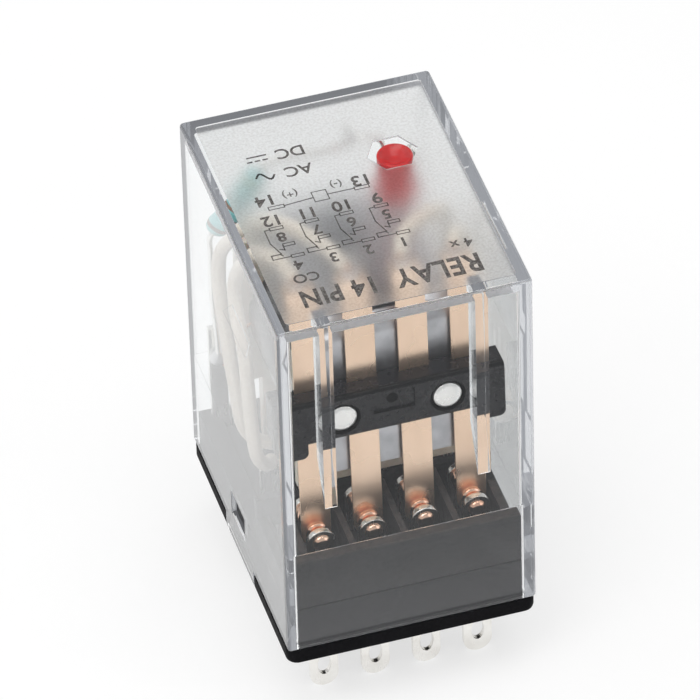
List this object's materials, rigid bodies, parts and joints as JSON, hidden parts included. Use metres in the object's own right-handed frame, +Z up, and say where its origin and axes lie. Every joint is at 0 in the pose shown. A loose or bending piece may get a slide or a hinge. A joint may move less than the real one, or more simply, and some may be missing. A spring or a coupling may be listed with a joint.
{
  "type": "plug-in relay",
  "caption": "Clear-cover plug-in relay with blade terminals: a hinged armature swings contact springs between fixed contacts, under an indicator lamp.",
  "frame": {"origin": "centre of the flange's underside, the plane that seats on a socket", "axes": "+X across the four poles, +Y from the contact side to the coil terminals, +Z up out of the socket towards the cover's top"},
  "size_m": [0.0212, 0.0274, 0.0424],
  "materials": {
    "clear_cover": "clear moulded polycarbonate, frosted panel on top",
    "black_plastic": "moulded black thermoset, fine texture",
    "card_plastic": "moulded black, satin",
    "bobbin_plastic": "natural nylon",
    "coil_tape": "black polyester tape",
    "tinned": "tin and silver plate, satin",
    "spring_alloy": "rolled copper alloy, bright",
    "contact_copper": "polished copper with silver face",
    "steel": "zinc-plated steel",
    "blued_steel": "blued spring steel",
    "lead_sleeve": "cream woven sleeve",
    "enamel_wire": "enamelled copper wire",
    "led_red": "red diffused resin",
    "resistor_teal": "lacquered resistor body"
  },
  "bodies": {
    "relay": {"cover": "clear_cover", "base": "black_plastic", "contact_block": "black_plastic", "bobbin": "bobbin_plastic", "coil_winding": "coil_tape", "core": "steel", "yoke": "steel", "hinge_spring": "blued_steel", "hinge_spring_rivet": "tinned", "led": "led_red", "led_lead_inner": "tinned", "led_lead_outer": "tinned", "resistor": "resistor_teal", "resistor_lead_inner": "tinned", "resistor_lead_outer": "tinned", "coil_wire_left": "enamel_wire", "coil_wire_right": "enamel_wire", "terminal_1": "tinned", "terminal_2": "tinned", "terminal_3": "tinned", "terminal_4": "tinned", "terminal_5": "tinned", "terminal_6": "tinned", "terminal_7": "tinned", "terminal_8": "tinned", "terminal_9": "tinned", "terminal_10": "tinned", "terminal_11": "tinned", "terminal_12": "tinned", "terminal_13": "tinned", "terminal_14": "tinned", "fixed_contact_closed_1": "contact_copper", "fixed_contact_open_1": "contact_copper", "flexible_lead_1": "lead_sleeve", "fixed_contact_closed_2": "contact_copper", "fixed_contact_open_2": "contact_copper", "flexible_lead_2": "lead_sleeve", "fixed_contact_closed_3": "contact_copper", "fixed_contact_open_3": "contact_copper", "flexible_lead_3": "lead_sleeve", "fixed_contact_closed_4": "contact_copper", "fixed_contact_open_4": "contact_copper", "flexible_lead_4": "lead_sleeve"},
    "armature_set": {"armature": "steel", "card": "card_plastic", "card_rivet_left": "tinned", "card_rivet_right": "tinned", "moving_spring_1": "spring_alloy", "moving_spring_2": "spring_alloy", "moving_spring_3": "spring_alloy", "moving_spring_4": "spring_alloy", "moving_contact_1": "contact_copper", "moving_contact_2": "contact_copper", "moving_contact_3": "contact_copper", "moving_contact_4": "contact_copper"}
  },
  "joints": [
    {"name": "armature_pivot", "type": "hinge", "parent": "relay", "child": "armature_set", "pos_m": [0, -0.0058, 0.028], "axis": [1, 0, 0], "range_deg": [0, 3], "stiffness_Nm_per_rad": 0.02, "springref_deg": -17.19}
  ]
}
